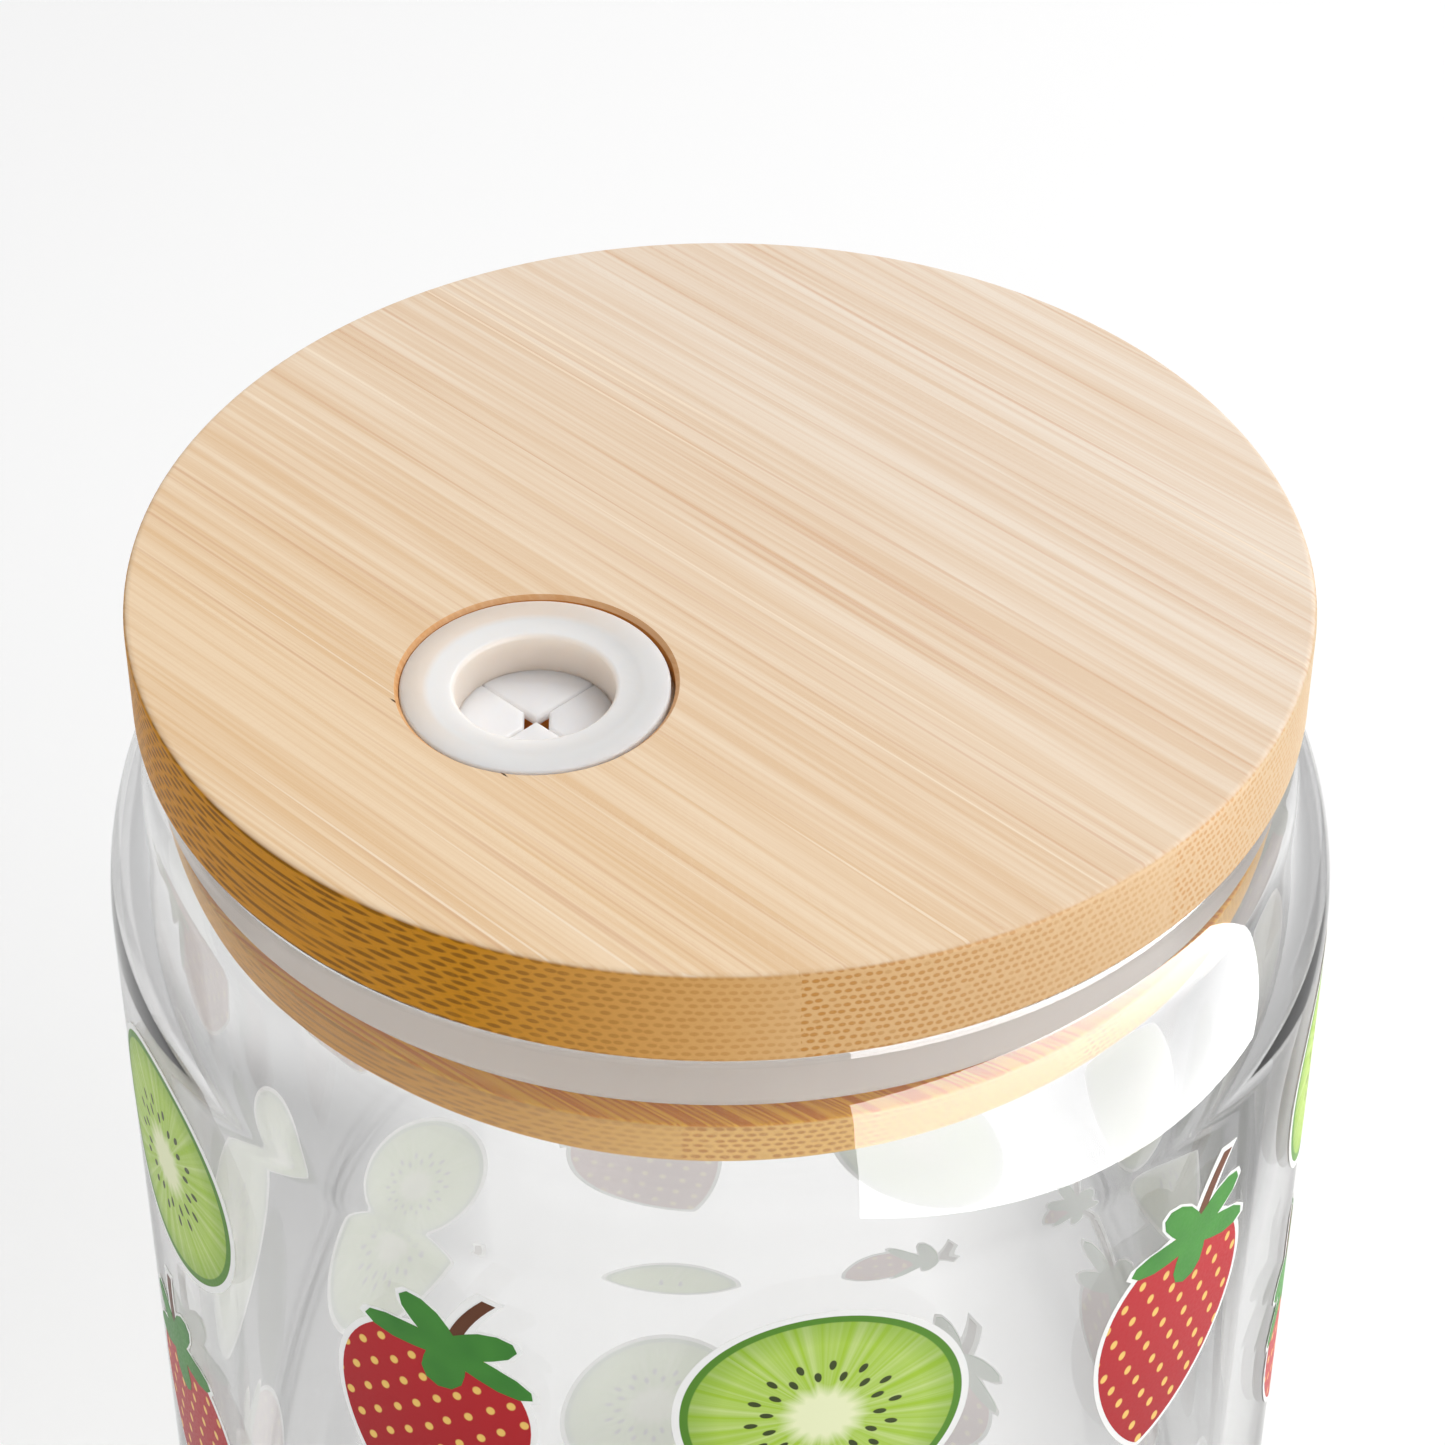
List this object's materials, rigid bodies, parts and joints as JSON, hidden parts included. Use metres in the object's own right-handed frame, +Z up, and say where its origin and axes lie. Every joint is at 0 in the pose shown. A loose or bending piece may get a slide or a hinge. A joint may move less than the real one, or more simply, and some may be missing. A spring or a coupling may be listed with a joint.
{
  "type": "lidded drinking glass",
  "caption": "Can-shaped clear glass with a turned bamboo lid, a silicone seal ring round the lid's plug and a cross-cut silicone straw port.",
  "frame": {"origin": "middle of the glass's foot, on the table", "axes": "+Z up along the glass; the bamboo's grain along X; the straw port towards -Y"},
  "size_m": [0.0754, 0.0754, 0.1396],
  "materials": {
    "clear_glass": "clear gloss",
    "bamboo": "satin",
    "seal_silicone": "matte",
    "port_silicone": "matte"
  },
  "bodies": {
    "glass": {"glass_body": "clear_glass"},
    "seal": {"seal_ring": "seal_silicone"},
    "lid": {"lid_disc_stave_1": "bamboo", "lid_disc_stave_2": "bamboo", "lid_disc_stave_3": "bamboo", "lid_disc_stave_4": "bamboo", "lid_plug_stave_1": "bamboo", "lid_plug_stave_2": "bamboo", "lid_plug_stave_3": "bamboo", "lid_plug_stave_4": "bamboo"},
    "grommet": {"straw_grommet": "port_silicone"},
    "petal_1": {"straw_petal_1": "port_silicone"},
    "petal_2": {"straw_petal_2": "port_silicone"},
    "petal_3": {"straw_petal_3": "port_silicone"},
    "petal_4": {"straw_petal_4": "port_silicone"}
  },
  "joints": [
    {"name": "lid_lift", "type": "slide", "parent": "glass", "child": "seal", "axis": [0, 0, 1], "range_m": [0, 0.06]},
    {"name": "lid_turn", "type": "hinge", "parent": "seal", "child": "lid", "pos_m": [0, 0, 0], "axis": [0, 0, 1], "continuous": true},
    {"name": "grommet_pull", "type": "slide", "parent": "lid", "child": "grommet", "axis": [0, 0, 1], "range_m": [0, 0.02]},
    {"name": "petal_1_fold", "type": "hinge", "parent": "grommet", "child": "petal_1", "pos_m": [0.00215, -0.01285, 0.13635], "axis": [0.7071, -0.7071, 0], "range_deg": [0, 75], "stiffness_Nm_per_rad": 0.001},
    {"name": "petal_2_fold", "type": "hinge", "parent": "grommet", "child": "petal_2", "pos_m": [-0.00215, -0.01285, 0.13635], "axis": [0.7071, 0.7071, 0], "range_deg": [0, 75], "stiffness_Nm_per_rad": 0.001},
    {"name": "petal_3_fold", "type": "hinge", "parent": "grommet", "child": "petal_3", "pos_m": [-0.00215, -0.01715, 0.13635], "axis": [-0.7071, 0.7071, 0], "range_deg": [0, 75], "stiffness_Nm_per_rad": 0.001},
    {"name": "petal_4_fold", "type": "hinge", "parent": "grommet", "child": "petal_4", "pos_m": [0.00215, -0.01715, 0.13635], "axis": [-0.7071, -0.7071, 0], "range_deg": [0, 75], "stiffness_Nm_per_rad": 0.001}
  ]
}
